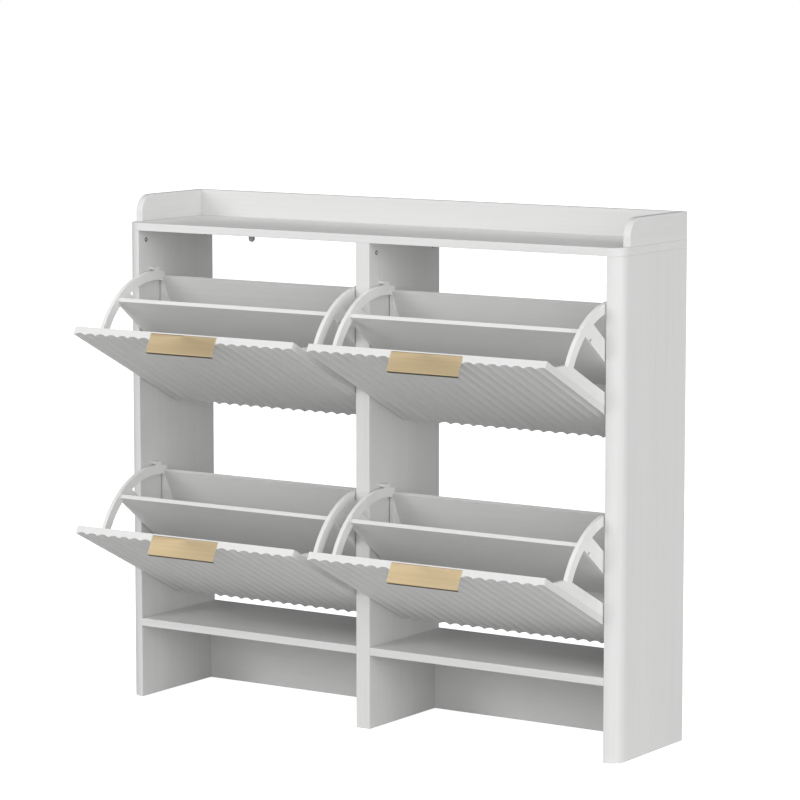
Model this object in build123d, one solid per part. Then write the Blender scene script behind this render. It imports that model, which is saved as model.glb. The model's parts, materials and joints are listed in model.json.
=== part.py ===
from build123d import *
import os
from math import acos, asin, cos, degrees, radians, sin, sqrt

os.makedirs("parts", exist_ok=True)

# Free-standing shoe cabinet with four tilting drawers in two bays and two tiers.
# Row frame: X to the right, Y to the back, Z up; origin on the floor under the carcass centre.
# Lengths are in millimetres, angles in degrees.

# ---- carcass ---------------------------------------------------------------
WIDTH = 1100.0                  # over the two side panels
DEPTH = 240.0                   # of the carcass, front to back
HEIGHT = 980.0                  # floor to the top of the gallery
UPRIGHT = 30.0                  # thickness of side panels and centre divider
BOARD = 15.0                    # thickness of every other carcass board
TOP_UNDERSIDE = 914.0           # height of the uprights
SHELF_UNDERSIDE = 141.0         # bottom shelves
CORNER_RADIUS = 28.0            # rounded front corners, seen from above
GALLERY_SETBACK = 32.0          # gallery sides start this far behind the front
GALLERY_RADIUS = 34.0           # rounded front corner of a gallery side
EDGE = 0.8                      # small rounding on board edges

# ---- tilting drawers -------------------------------------------------------
SIDE_GAP = 2.0                  # between a drawer and the upright beside it
PIVOT_SETBACK = 37.0            # pivot behind the outer face of the closed front
PIVOT_HEIGHTS = {"lower": 272.7, "upper": 652.7}
OPEN_ANGLE = 63.5               # forward tilt from closed to the opening stop
FRONT_THICKNESS = 16.0          # over the ridges
FRONT_BOTTOM = -107.0           # front edges, measured from the pivot
FRONT_TOP = 253.0
FLUTE_PITCH = 25.3
FLUTE_DEPTH = 3.5
RIDGE_FLAT = 2.0
FIRST_RIDGE = 14.0              # from the left end of the front
PANEL = 8.0                     # thickness of the inner panels
FLOOR_BOARD = 10.0              # thickness of the bottom board

# ---- side brackets of a drawer, seen from the side -------------------------
BRACKET = 8.0                   # thickness
RAIL_DEPTH = 21.5               # front rail, behind the front
ARC_INNER, ARC_OUTER = 163.0, 181.0
ARC_END = 96.3                  # front end of the arc, in degrees above straight back
BRACKET_FOOT = -98.0            # lower edge of the bracket
FOOT_RAIL_TOP = -72.0
HUB_RADIUS = 15.0
LUG_RADIUS = 188.0              # opening lug near the rear end of the arc
LUG_SPAN = 4.5                  # degrees
HORN_TOP = 215.0                # closing horn above the front rail
MID_TILT = 10.6                 # lean of the middle panel when closed
MID_FACE = 36.0                 # its front face, square to it from the pivot
MID_RAIL = 32.0                 # width of the bracket's middle rail
MID_BOTTOM, MID_TOP = -9.0, 170.0
BACK_TILT = 36.5                # lean of the back panel when closed
BACK_FACE = 97.0
BACK_RAIL_IN, BACK_RAIL_OUT = 71.0, 109.0
WEB_EDGE = 28.5                 # upright edge behind the arc, from the pivot, when open
WEB_KNEE = 100.0                # height above the pivot at which that edge meets the back rail
ARC_START = degrees(acos(WEB_EDGE / ARC_INNER)) - OPEN_ANGLE
BACK_BOTTOM, BACK_TOP = -42.0, 138.0
FLOOR_UNDERSIDE = -90.0         # bottom board of the drawer

# ---- handle ----------------------------------------------------------------
HANDLE_LENGTH = 150.0
HANDLE_SHIFT = 5.0              # to the right of the front's middle
HANDLE_REACH = 25.5             # in front of the ridges
HANDLE_INSET = 2.5              # from the front's inner face to the plate's rear edge
HANDLE_SHEET = 1.6
HANDLE_LIP = 8.0
HANDLE_TONGUE = 14.0            # depth of the tongue in its groove

# ---- fittings --------------------------------------------------------------
FIT = 0.05                      # radial clearance of pins and fasteners
END_GAP = 0.3                   # room at the end of a blind hole, and between moving faces
PIVOT_RADIUS = 4.0
COLLAR_RADIUS = 7.0
PIN_DEPTH = 16.0                # of a pin inside an upright
STOP_RADIUS = 3.0
STOP_DISTANCE = 186.0           # from the pivot
STOP_ANGLE = 90.5
CAM_RADIUS = 4.5
CAM_DEPTH = 12.0
CAM_INSET = 24.0                # from the front and back edges
CAM_DROP = 19.0                 # below the top board
BOLT_RADIUS = 2.5
DOWEL_RADIUS = 4.0
PEG_RADIUS = 3.0                # gallery dowels
SCREW_RADIUS = 1.6
HEAD_RADIUS = 3.1
HEAD_HEIGHT = 2.2

FRONT_Y, BACK_Y = -DEPTH / 2, DEPTH / 2
OUTER_X = WIDTH / 2
INNER_X = OUTER_X - UPRIGHT     # inner face of a side panel
MIDDLE_X = UPRIGHT / 2          # face of the centre divider
BAY_CENTRE = (INNER_X + MIDDLE_X) / 2
DRAWER_WIDTH = INNER_X - MIDDLE_X - 2 * SIDE_GAP
HALF = DRAWER_WIDTH / 2
PIVOT_Y = FRONT_Y + PIVOT_SETBACK
TOP_SURFACE = TOP_UNDERSIDE + BOARD
RIDGE_Y = -PIVOT_SETBACK        # outer face of the front, from the pivot
INSIDE_Y = RIDGE_Y + FRONT_THICKNESS
RAIL_Y = INSIDE_Y + RAIL_DEPTH
BAYS = {"left": -BAY_CENTRE, "right": BAY_CENTRE}


def box(x0, x1, y0, y1, z0, z1):
    """Box between two opposite corners."""
    return Pos((x0 + x1) / 2, (y0 + y1) / 2, (z0 + z1) / 2) * Box(x1 - x0, y1 - y0, z1 - z0)


def rod_x(x0, x1, y, z, radius):
    return Pos((x0 + x1) / 2, y, z) * Rot(0, 90, 0) * Cylinder(radius, abs(x1 - x0))


def rod_y(x, y0, y1, z, radius):
    return Pos(x, (y0 + y1) / 2, z) * Rot(90, 0, 0) * Cylinder(radius, abs(y1 - y0))


def rod_z(x, y, z0, z1, radius):
    return Pos(x, y, (z0 + z1) / 2) * Cylinder(radius, abs(z1 - z0))


def drill(board, holes):
    """Board with the listed solids cut out of it."""
    for hole in holes:
        board -= hole
    return board


def soften(board, radius=EDGE):
    """Board with the edges round every flat face rounded a little."""
    return fillet(board.edges(), radius)


def round_upright_edges(board, places, radius):
    """Board with the vertical edges nearest to the given (x, y) places rounded."""
    upright = board.edges().filter_by(Axis.Z)
    chosen = []
    for x, y in places:
        nearest = upright.sort_by(lambda edge: (edge.center().X - x) ** 2 + (edge.center().Y - y) ** 2)
        chosen.append(nearest[0])
    return fillet(chosen, radius)


def slab(points, x0, x1):
    """Plate between x0 and x1 with a polygon outline given as (y, z) points."""
    outline = Polyline(*points, close=True)
    return extrude(Plane.YZ.offset(x0) * make_face(outline), x1 - x0)


def polar(radius, angle):
    return radius * cos(radians(angle)), radius * sin(radians(angle))


def leaning(tilt, square, along):
    """Point (y, z) on a panel that leans back by tilt: square to it, and along it, from the pivot."""
    c, s = cos(radians(tilt)), sin(radians(tilt))
    return square * c + along * s, -square * s + along * c


def leaning_at(tilt, square, z):
    """Point of the panel line at the offset square and the height z."""
    along = (z + square * sin(radians(tilt))) / cos(radians(tilt))
    return leaning(tilt, square, along)


def tilted_back(y, z):
    """Where a point (y, z) of the open drawer lies when the drawer is closed."""
    c, s = cos(radians(OPEN_ANGLE)), sin(radians(OPEN_ANGLE))
    return y * c + z * s, -y * s + z * c


def mid(square, along):
    return leaning(MID_TILT, square, along)


def back(square, along):
    return leaning(BACK_TILT, square, along)


# ---- fittings of the carcass; grow widens them into their holes ------------
def uprights_inward():
    """Inner face and inward direction of each upright that a bay meets."""
    return [(-INNER_X, 1), (-MIDDLE_X, -1), (MIDDLE_X, 1), (INNER_X, -1)]


def pivot_pins(grow=0.0):
    pins = []
    for height in PIVOT_HEIGHTS.values():
        for face, inward in uprights_inward():
            depth = face - inward * (PIN_DEPTH + END_GAP * (grow > 0))
            end = face + inward * (SIDE_GAP + BRACKET - END_GAP)
            pin = rod_x(depth, end, PIVOT_Y, height, PIVOT_RADIUS + grow)
            if grow == 0:
                pin += rod_x(face, face + inward * (SIDE_GAP - END_GAP), PIVOT_Y, height, COLLAR_RADIUS)
            pins.append(pin)
    return pins


def stop_pins(grow=0.0):
    pins = []
    dy, dz = polar(STOP_DISTANCE, STOP_ANGLE)
    for height in PIVOT_HEIGHTS.values():
        for face, inward in uprights_inward():
            depth = face - inward * (PIN_DEPTH + END_GAP * (grow > 0))
            end = face + inward * (SIDE_GAP + BRACKET - 1.0)
            pins.append(rod_x(depth, end, PIVOT_Y + dy, height + dz, STOP_RADIUS + grow))
    return pins


def shelf_ends():
    """End of each shelf: its x and the direction into the upright."""
    return [(-INNER_X, -1), (-MIDDLE_X, 1), (MIDDLE_X, -1), (INNER_X, 1)]


CAM_ROWS = (FRONT_Y + CAM_INSET, BACK_Y - CAM_INSET)
SHELF_MIDDLE = SHELF_UNDERSIDE + BOARD / 2
TOE_MIDDLE_Y = BACK_Y - BOARD / 2
TOE_MIDDLE_Z = SHELF_UNDERSIDE / 2
CAM_FROM_END = 34.0             # cam centre from the end of a shelf or toe board
BOLT_BITE = 11.0                # of a bolt into the board it pulls


def cam_locks(grow=0.0):
    cams = []
    radius, depth = CAM_RADIUS + grow, CAM_DEPTH + END_GAP * (grow > 0)
    cam_z = TOP_UNDERSIDE - CAM_DROP
    for face, inward in ((-INNER_X, 1), (MIDDLE_X, 1), (INNER_X, -1)):
        for y in CAM_ROWS:
            cams.append(rod_x(face - inward * depth, face, y, cam_z, radius))
    for end, outward in shelf_ends():
        x = end - outward * CAM_FROM_END
        for y in CAM_ROWS:
            cams.append(rod_z(x, y, SHELF_UNDERSIDE, SHELF_UNDERSIDE + depth, radius))
        cams.append(rod_y(x, BACK_Y - depth, BACK_Y, TOE_MIDDLE_Z, radius))
    return cams


def connecting_bolts(grow=0.0):
    """Bolts that run from the side of a cam into the next board."""
    bolts = []
    radius, extra = BOLT_RADIUS + grow, END_GAP * (grow > 0)
    start = CAM_RADIUS + END_GAP
    for face, inward in ((-INNER_X, 1), (MIDDLE_X, 1), (INNER_X, -1)):
        x = face - inward * CAM_DEPTH / 2
        for y in CAM_ROWS:
            low = TOP_UNDERSIDE - CAM_DROP + start
            bolts.append(rod_z(x, y, low, TOP_UNDERSIDE + BOLT_BITE + extra, radius))
    for end, outward in shelf_ends():
        near = end - outward * (CAM_FROM_END - start)
        far = end + outward * (BOLT_BITE + extra)
        for y in CAM_ROWS:
            bolts.append(rod_x(near, far, y, SHELF_MIDDLE, radius))
        bolts.append(rod_x(near, far, TOE_MIDDLE_Y, TOE_MIDDLE_Z, radius))
    return bolts


def dowels(grow=0.0):
    """Wooden dowels that locate the boards."""
    pegs = []
    reach = 12.0 + END_GAP * (grow > 0)
    radius, peg_radius = DOWEL_RADIUS + grow, PEG_RADIUS + grow
    for x in (-OUTER_X + UPRIGHT / 2, 0.0, OUTER_X - UPRIGHT / 2):
        pegs.append(rod_z(x, 0, TOP_UNDERSIDE - reach, TOP_UNDERSIDE + reach, radius))
    for end, outward in shelf_ends():
        pegs.append(rod_x(end - reach, end + reach, 0, SHELF_MIDDLE, radius))
        for z in (SHELF_UNDERSIDE * 0.2, SHELF_UNDERSIDE * 0.8):
            pegs.append(rod_x(end - reach, end + reach, TOE_MIDDLE_Y, z, radius))
    for x in (-OUTER_X + BOARD / 2, OUTER_X - BOARD / 2):
        for y in (-GALLERY_RADIUS, BOARD):
            pegs.append(rod_z(x, y, TOP_SURFACE - reach, TOP_SURFACE + reach, peg_radius))
    for x in (-BAY_CENTRE * 1.5, -BAY_CENTRE / 2, BAY_CENTRE / 2, BAY_CENTRE * 1.5):
        pegs.append(rod_z(x, TOE_MIDDLE_Y, TOP_SURFACE - reach, TOP_SURFACE + reach, peg_radius))
    rail_z = (TOP_SURFACE + HEIGHT) / 2
    for x in (-OUTER_X + BOARD, OUTER_X - BOARD):
        pegs.append(rod_x(x - reach, x + reach, TOE_MIDDLE_Y, rail_z, peg_radius))
    return pegs


# ---- domed rubber bumper under the top board of the left bay ----------------
BUMPER_RADIUS = 6.0
BUMPER_DROP = 12.0
STUD_RADIUS = 1.6
STUD_FOOT = 6.0                 # of the stud inside the bumper
BUMPER_PLACE = (-BAY_CENTRE, PIVOT_Y + INSIDE_Y + END_GAP + BUMPER_RADIUS)


def bumper_stud(grow=0.0):
    extra = END_GAP * (grow > 0)
    low, high = TOP_UNDERSIDE - STUD_FOOT - extra, TOP_UNDERSIDE + BOLT_BITE + extra
    return rod_z(*BUMPER_PLACE, low, high, STUD_RADIUS + grow)


def door_bumper():
    """Round button: straight under the board, domed below."""
    x, y = BUMPER_PLACE
    belt = TOP_UNDERSIDE - BUMPER_DROP + BUMPER_RADIUS
    button = rod_z(x, y, belt, TOP_UNDERSIDE, BUMPER_RADIUS)
    button += Pos(x, y, belt) * Sphere(BUMPER_RADIUS)
    return drill(button, [bumper_stud(FIT)])


# ---- carcass boards --------------------------------------------------------
def side_panel(side):
    """side is -1 for the left panel and 1 for the right one."""
    x0, x1 = sorted((side * INNER_X, side * OUTER_X))
    panel = box(x0, x1, FRONT_Y, BACK_Y, 0, TOP_UNDERSIDE)
    return soften(round_upright_edges(panel, [(side * OUTER_X, FRONT_Y)], CORNER_RADIUS))


def top_board():
    board = box(-OUTER_X, OUTER_X, FRONT_Y, BACK_Y, TOP_UNDERSIDE, TOP_SURFACE)
    corners = [(-OUTER_X, FRONT_Y), (OUTER_X, FRONT_Y)]
    return soften(round_upright_edges(board, corners, CORNER_RADIUS))


def gallery_side(side):
    x0, x1 = sorted((side * (OUTER_X - BOARD), side * OUTER_X))
    front = FRONT_Y + GALLERY_SETBACK
    board = box(x0, x1, front, BACK_Y, TOP_SURFACE, HEIGHT)
    corner = board.edges().filter_by(Axis.X).sort_by(lambda edge: edge.center().Z - edge.center().Y)[-1]
    return soften(fillet(corner, GALLERY_RADIUS))


def gallery_rail():
    inner = OUTER_X - BOARD
    return soften(box(-inner, inner, BACK_Y - BOARD, BACK_Y, TOP_SURFACE, HEIGHT))


def bottom_shelf(bay):
    x0, x1 = BAYS[bay] - HALF - SIDE_GAP, BAYS[bay] + HALF + SIDE_GAP
    return soften(box(x0, x1, FRONT_Y, BACK_Y, SHELF_UNDERSIDE, SHELF_UNDERSIDE + BOARD))


def toe_board(bay):
    x0, x1 = BAYS[bay] - HALF - SIDE_GAP, BAYS[bay] + HALF + SIDE_GAP
    return soften(box(x0, x1, BACK_Y - BOARD, BACK_Y, 0, SHELF_UNDERSIDE))


def carcass_nodes():
    """Every piece of the carcass, by node name."""
    boards = {
        "side_panel_left": side_panel(-1),
        "side_panel_right": side_panel(1),
        "centre_divider": soften(box(-MIDDLE_X, MIDDLE_X, FRONT_Y, BACK_Y, 0, TOP_UNDERSIDE)),
        "top_board": top_board(),
        "gallery_side_left": gallery_side(-1),
        "gallery_side_right": gallery_side(1),
        "gallery_rail": gallery_rail(),
    }
    for bay in BAYS:
        boards[f"bottom_shelf_{bay}"] = bottom_shelf(bay)
        boards[f"toe_board_{bay}"] = toe_board(bay)
    holes = pivot_pins(FIT) + stop_pins(FIT) + cam_locks(FIT) + connecting_bolts(FIT) + dowels(FIT)
    holes.append(bumper_stud(FIT))
    nodes = {name: drill(board, holes) for name, board in boards.items()}
    nodes["pivot_pins"] = Compound(pivot_pins())
    nodes["stop_pins"] = Compound(stop_pins())
    nodes["cam_locks"] = Compound(cam_locks())
    nodes["connecting_bolts"] = Compound(connecting_bolts())
    nodes["dowels"] = Compound(dowels())
    nodes["door_bumper"] = door_bumper()
    nodes["bumper_stud"] = bumper_stud()
    return nodes


# ---- one drawer, closed, with its pivot axis through the origin ------------
RAIL_SCREW_HEIGHTS = (-62.0, 62.0, 128.0)
RAIL_SCREW_SEAT = 11.0          # head seat, in front of the rail's inner edge
MID_SCREWS = (30.0, 140.0)      # along the middle panel
BACK_SCREWS = (0.0, 105.0)      # along the back panel
FLOOR_SCREW_Y = 14.0
SIDE_SCREW_LENGTH = 22.0


def front_screw(x, z, grow):
    """Screw that runs forward through a bracket's front rail into the front."""
    seat = RAIL_Y - RAIL_SCREW_SEAT
    tip = RIDGE_Y + FLUTE_DEPTH + 2.5
    head_end = seat + HEAD_HEIGHT if grow == 0 else RAIL_Y + 1.0
    shaft = rod_y(x, tip - END_GAP * (grow > 0), seat, z, SCREW_RADIUS + grow)
    return shaft + rod_y(x, seat, head_end, z, HEAD_RADIUS + grow)


def side_screw(side, y, z, grow):
    """Screw that runs inward through a bracket into the end of a panel."""
    face = side * HALF
    seat = face - side * (HEAD_HEIGHT + END_GAP)
    head_end = seat + side * HEAD_HEIGHT if grow == 0 else face + side
    tip = face - side * (SIDE_SCREW_LENGTH + END_GAP * (grow > 0))
    shaft = rod_x(tip, seat, y, z, SCREW_RADIUS + grow)
    return shaft + rod_x(seat, head_end, y, z, HEAD_RADIUS + grow)


def bracket_screws(grow=0.0):
    screws = []
    for side in (-1, 1):
        for z in RAIL_SCREW_HEIGHTS:
            screws.append(front_screw(side * (HALF - BRACKET / 2), z, grow))
        places = [mid(MID_FACE + PANEL / 2, along) for along in MID_SCREWS]
        places += [back(BACK_FACE + PANEL / 2, along) for along in BACK_SCREWS]
        places.append((FLOOR_SCREW_Y, FLOOR_UNDERSIDE + FLOOR_BOARD / 2))
        for y, z in places:
            screws.append(side_screw(side, y, z, grow))
    return screws


def fluted_front():
    """Board whose outer face is a row of upright hollow flutes between narrow ridges."""
    board = box(-HALF, HALF, RIDGE_Y, INSIDE_Y, FRONT_BOTTOM, FRONT_TOP)
    half_chord = (FLUTE_PITCH - RIDGE_FLAT) / 2
    radius = (half_chord ** 2 + FLUTE_DEPTH ** 2) / (2 * FLUTE_DEPTH)
    axis_y = RIDGE_Y + FLUTE_DEPTH - radius
    flute_count = int(DRAWER_WIDTH / FLUTE_PITCH) + 2
    flutes = []
    for flute in range(flute_count):
        x = -HALF + FIRST_RIDGE + (flute - 0.5) * FLUTE_PITCH
        flutes.append(rod_z(x, axis_y, FRONT_BOTTOM - 1, FRONT_TOP + 1, radius))
    return drill(board, flutes + [handle_tongue(FIT)] + bracket_screws(FIT))


def handle_tongue(grow=0.0):
    """Tongue of the handle, pressed into a groove in the front's top edge."""
    reach = HANDLE_LENGTH / 2 + grow
    rear = INSIDE_Y - HANDLE_INSET
    foot = FRONT_TOP - HANDLE_TONGUE - END_GAP * (grow > 0)
    top = FRONT_TOP + HANDLE_SHEET
    tongue = box(-reach, reach, rear - HANDLE_SHEET - grow, rear + grow, foot, top)
    return Pos(HANDLE_SHIFT, 0, 0) * tongue


def handle():
    """Bent sheet: a plate over the front's top edge, a lip in front and a tongue let into the edge."""
    low_x, high_x = HANDLE_SHIFT - HANDLE_LENGTH / 2, HANDLE_SHIFT + HANDLE_LENGTH / 2
    tip = RIDGE_Y - HANDLE_REACH
    top = FRONT_TOP + HANDLE_SHEET
    plate = box(low_x, high_x, tip, INSIDE_Y - HANDLE_INSET, FRONT_TOP, top)
    lip = box(low_x, high_x, tip, tip + HANDLE_SHEET, top - HANDLE_LIP, top)
    bent = plate + lip + handle_tongue()
    along = bent.edges().filter_by(Axis.X)
    outside = [edge for edge in along if edge.center().Z > FRONT_TOP + HANDLE_SHEET / 2]
    return fillet(outside, HANDLE_SHEET * 0.8)


def arc_band(inner, outer, start, end, x0, x1):
    """Part of a ring round the pivot, from one angle to another."""
    band = [ThreePointArc(polar(inner, start), polar(inner, (start + end) / 2), polar(inner, end))]
    band.append(Line(polar(inner, end), polar(outer, end)))
    band.append(ThreePointArc(polar(outer, end), polar(outer, (start + end) / 2), polar(outer, start)))
    band.append(Line(polar(outer, start), polar(inner, start)))
    return extrude(Plane.YZ.offset(x0) * make_face(Curve() + band), x1 - x0)


def bracket(side):
    """Fan-shaped side bracket: front rail, foot, middle rail, back rail and arc in one moulding."""
    x0, x1 = sorted((side * HALF, side * (HALF - BRACKET)))
    stop_y, stop_z = polar(STOP_DISTANCE, STOP_ANGLE)
    horn_y = stop_y - STOP_RADIUS - END_GAP
    front_rail = slab([
        (INSIDE_Y, BRACKET_FOOT), (RAIL_Y, BRACKET_FOOT), (RAIL_Y, ARC_OUTER - 4), (horn_y, ARC_OUTER - 1),
        (horn_y, stop_z + STOP_RADIUS), (INSIDE_Y + 3, HORN_TOP), (INSIDE_Y, HORN_TOP)], x0, x1)
    foot_end, _ = leaning_at(BACK_TILT, BACK_RAIL_OUT, BRACKET_FOOT)
    foot_back, _ = leaning_at(BACK_TILT, BACK_RAIL_OUT, FOOT_RAIL_TOP)
    foot = slab([
        (INSIDE_Y, BRACKET_FOOT), (foot_end, BRACKET_FOOT),
        (foot_back, FOOT_RAIL_TOP), (INSIDE_Y, FOOT_RAIL_TOP)], x0, x1)
    mid_rail = slab([
        leaning_at(MID_TILT, MID_FACE, FOOT_RAIL_TOP), leaning_at(MID_TILT, MID_FACE + MID_RAIL, FOOT_RAIL_TOP),
        mid(MID_FACE + MID_RAIL, sqrt(ARC_INNER ** 2 - (MID_FACE + MID_RAIL) ** 2) + 4),
        mid(MID_FACE, sqrt(ARC_INNER ** 2 - MID_FACE ** 2) + 4)], x0, x1)
    back_rail = slab([
        leaning_at(BACK_TILT, BACK_RAIL_IN, FOOT_RAIL_TOP), tilted_back(WEB_EDGE, WEB_KNEE),
        polar(ARC_INNER, ARC_START), polar(ARC_OUTER, ARC_START),
        leaning_at(BACK_TILT, BACK_RAIL_OUT, FOOT_RAIL_TOP)], x0, x1)
    arc = arc_band(ARC_INNER, ARC_OUTER, ARC_START, ARC_END, x0, x1)
    pin_width = degrees(asin(STOP_RADIUS / STOP_DISTANCE))
    contact_gap = degrees(END_GAP / STOP_DISTANCE)
    lug_end = STOP_ANGLE - pin_width - contact_gap - OPEN_ANGLE
    lug = arc_band(ARC_INNER + 2, LUG_RADIUS, lug_end - LUG_SPAN, lug_end, x0, x1)
    hub = rod_x(x0, x1, 0, 0, HUB_RADIUS)
    plate = front_rail + foot + mid_rail + back_rail + arc + lug + hub
    bore = rod_x(x0 - 1, x1 + 1, 0, 0, PIVOT_RADIUS + FIT)
    return drill(plate, [bore] + bracket_screws(FIT))


def inner_panel(place, face, low, high):
    """Leaning panel between the brackets; place is mid or back."""
    half = HALF - BRACKET
    outline = [place(face, low), place(face + PANEL, low), place(face + PANEL, high), place(face, high)]
    return drill(slab(outline, -half, half), bracket_screws(FIT))


def bottom_board():
    half = HALF - BRACKET
    top = FLOOR_UNDERSIDE + FLOOR_BOARD
    low_end, _ = leaning_at(BACK_TILT, BACK_FACE - END_GAP, FLOOR_UNDERSIDE)
    high_end, _ = leaning_at(BACK_TILT, BACK_FACE - END_GAP, top)
    outline = [(INSIDE_Y, FLOOR_UNDERSIDE), (low_end, FLOOR_UNDERSIDE), (high_end, top), (INSIDE_Y, top)]
    return drill(slab(outline, -half, half), bracket_screws(FIT))


def drawer_nodes():
    """The pieces of one closed drawer, by the last part of their node name."""
    return {
        "front": fluted_front(),
        "divider_panel": inner_panel(mid, MID_FACE, MID_BOTTOM, MID_TOP),
        "back_panel": inner_panel(back, BACK_FACE, BACK_BOTTOM, BACK_TOP),
        "bottom_board": bottom_board(),
        "bracket_left": bracket(-1),
        "bracket_right": bracket(1),
        "handle": handle(),
        "bracket_screws": Compound(bracket_screws()),
    }


def write_all():
    """Export the carcass, and the four drawers standing open on their stops."""
    for name, solid in carcass_nodes().items():
        export_step(solid, f"parts/{name}.step")
    drawer = drawer_nodes()
    for tier, height in PIVOT_HEIGHTS.items():
        for bay, x in BAYS.items():
            place = Pos(x, PIVOT_Y, height) * Rot(OPEN_ANGLE, 0, 0)
            for piece, solid in drawer.items():
                export_step(place * solid, f"parts/{tier}_{bay}_{piece}.step")


write_all()
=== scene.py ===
import json
from math import asin, atan2, cos, pi, radians, sin

import bmesh
import bpy
from mathutils import Matrix, Vector


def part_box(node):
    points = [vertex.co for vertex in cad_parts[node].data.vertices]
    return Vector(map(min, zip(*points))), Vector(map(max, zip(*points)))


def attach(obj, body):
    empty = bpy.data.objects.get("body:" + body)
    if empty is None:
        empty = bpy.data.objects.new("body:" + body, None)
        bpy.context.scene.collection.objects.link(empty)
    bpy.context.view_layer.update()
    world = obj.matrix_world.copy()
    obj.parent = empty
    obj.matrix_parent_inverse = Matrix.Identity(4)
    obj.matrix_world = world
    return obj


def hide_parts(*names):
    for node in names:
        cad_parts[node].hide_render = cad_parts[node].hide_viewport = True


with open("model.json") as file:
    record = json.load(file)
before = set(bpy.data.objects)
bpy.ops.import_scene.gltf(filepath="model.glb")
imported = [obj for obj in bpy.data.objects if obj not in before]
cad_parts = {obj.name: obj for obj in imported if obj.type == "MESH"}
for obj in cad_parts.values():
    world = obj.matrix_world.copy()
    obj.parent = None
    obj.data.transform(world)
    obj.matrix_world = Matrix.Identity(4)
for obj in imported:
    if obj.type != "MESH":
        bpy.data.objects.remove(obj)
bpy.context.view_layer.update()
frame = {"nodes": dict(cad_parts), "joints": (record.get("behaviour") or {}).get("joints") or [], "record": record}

# Shoe cabinet: the carcass boards keep their CAD shape and get their foil; the drawers' boards,
# mouldings, handles and fasteners are modelled again here with their small roundings and recesses.
# Lengths are in metres.

MM = 0.001

# ---- camera, floor and light ---------------------------------------------------------------
VIEW_AZIMUTH, VIEW_ELEVATION = 33.404, 7.279
VIEW_PLACE = (3.659, -5.5421, 1.4572)
LENS = 159.9
BRIGHT_SIDE = (0.59, -0.77, 0.24)         # where the studio's even light is strongest
WORLD_BRIGHT, WORLD_DIM = 1.50, 0.05
WORLD_FADE = (-0.22, 1.0)                 # facing away from and towards the bright side
BACKDROP = (1.0, 1.0, 1.0, 1.0)
FLOOR_GLOW, FLOOR_PALE = 0.85, 0.72       # the floor's own glow, and how much light it throws back
FLOOR_SIZE = 40
LAMPS = {                                 # place, target, size in metres, power in watts
    "overhead": ((0.2, -1.4, 4.6), (0, -0.2, 0.3), 3.2, 8),
    "key": ((-2.6, -5.0, 2.4), (-0.3, 0, 0.5), 2.4, 88),
    "side": ((6.2, -2.0, 1.3), (0.1, 0, 0.4), 2.8, 82),
}

# ---- the drawers, from the frame -----------------------------------------------------------
JOINTS = {joint["child"]: joint for joint in frame["joints"]}
DRAWERS = [f"{tier}_{bay}" for tier in ("upper", "lower") for bay in ("left", "right")]
OPEN = radians(63.5)                      # the drawers stand open on their stops at rest

# ---- sizes of the details ------------------------------------------------------------------
FLUTE_PITCH, FLUTE_DEPTH, RIDGE_LAND, FIRST_RIDGE = 25.3 * MM, 3.5 * MM, 2.0 * MM, 14.0 * MM
FLUTE_STEPS = 12
RIDGE_ROUNDING = 0.9 * MM
BOARD_ROUNDING = 0.7 * MM
MOULDING_ROUNDING = 0.6 * MM
SHEET = 1.6 * MM
LIP = 8.0 * MM
SHEET_BEND = 1.7 * MM
SHEET_EDGE = 0.25 * MM
HAIR = 0.01 * MM                          # slack when vertices, edges or faces are picked by place
MERGE = 0.001 * MM                        # vertices nearer than this are one
SCREW_SHAFT, SCREW_HEAD, SCREW_HEAD_HEIGHT, SCREW_PITCH = 1.6 * MM, 3.1 * MM, 2.2 * MM, 1.6 * MM
PIN_RADIUS, PIN_COLLAR, PIN_IN_DRAWER, PIN_EASE = 4.0 * MM, 7.0 * MM, 9.4 * MM, 0.6 * MM
STOP_RADIUS, STOP_EASE = 3.0 * MM, 0.5 * MM
CAM_RADIUS, CAM_POST, CAM_GROOVE = 4.5 * MM, 2.2 * MM, 6.0 * MM
BOLT_RADIUS, BOLT_THREAD, BOLT_PITCH, BOLT_TURNS = 2.5 * MM, 11.0 * MM, 1.8 * MM, 5
DOWEL_EASE, DOWEL_GROOVES, DOWEL_GROOVED = 1.0 * MM, 12, 0.93
BUMPER_RADIUS, STUD_RADIUS = 6.0 * MM, 1.6 * MM


def aim_camera():
    data = bpy.data.cameras.new("view_camera")
    data.lens = LENS
    camera = bpy.data.objects.new("view_camera", data)
    camera.location = VIEW_PLACE
    camera.rotation_euler = (radians(90 - VIEW_ELEVATION), 0, radians(VIEW_AZIMUTH))
    bpy.context.scene.collection.objects.link(camera)
    bpy.context.scene.camera = camera


def soft_light(name, place, target, size, power):
    data = bpy.data.lights.new(name, "AREA")
    data.shape = "DISK"
    data.size = size
    data.energy = power
    light = bpy.data.objects.new(name, data)
    light.location = place
    light.rotation_euler = (Vector(target) - Vector(place)).to_track_quat("-Z", "Y").to_euler()
    bpy.context.scene.collection.objects.link(light)


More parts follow.
